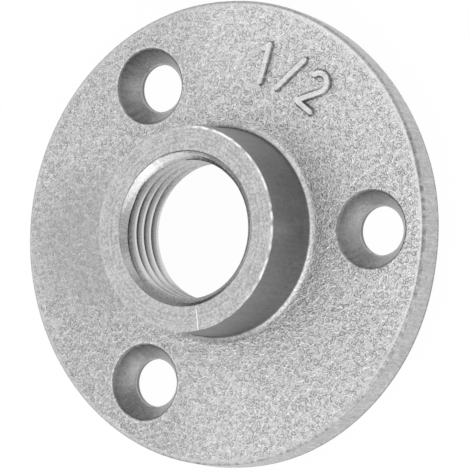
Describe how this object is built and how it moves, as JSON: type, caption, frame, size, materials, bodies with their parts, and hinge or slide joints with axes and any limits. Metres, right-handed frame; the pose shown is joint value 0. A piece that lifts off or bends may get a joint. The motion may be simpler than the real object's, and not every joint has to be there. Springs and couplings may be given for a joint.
{
  "type": "threaded floor flange",
  "caption": "Round cast floor flange with a raised hub tapped for half inch pipe and countersunk screw holes around it.",
  "frame": {"origin": "centre of the flat back face, on the bore axis", "axes": "+Z along the bore from the back face towards the mouth of the hub, +X through one screw hole"},
  "size_m": [0.064, 0.064, 0.0128],
  "materials": {
    "cast_metal": "zinc plated, wrinkled as cast on the plate, machined on the hub face and in the bore"
  },
  "bodies": {
    "root": {"floor_flange": "cast_metal"}
  },
  "joints": []
}
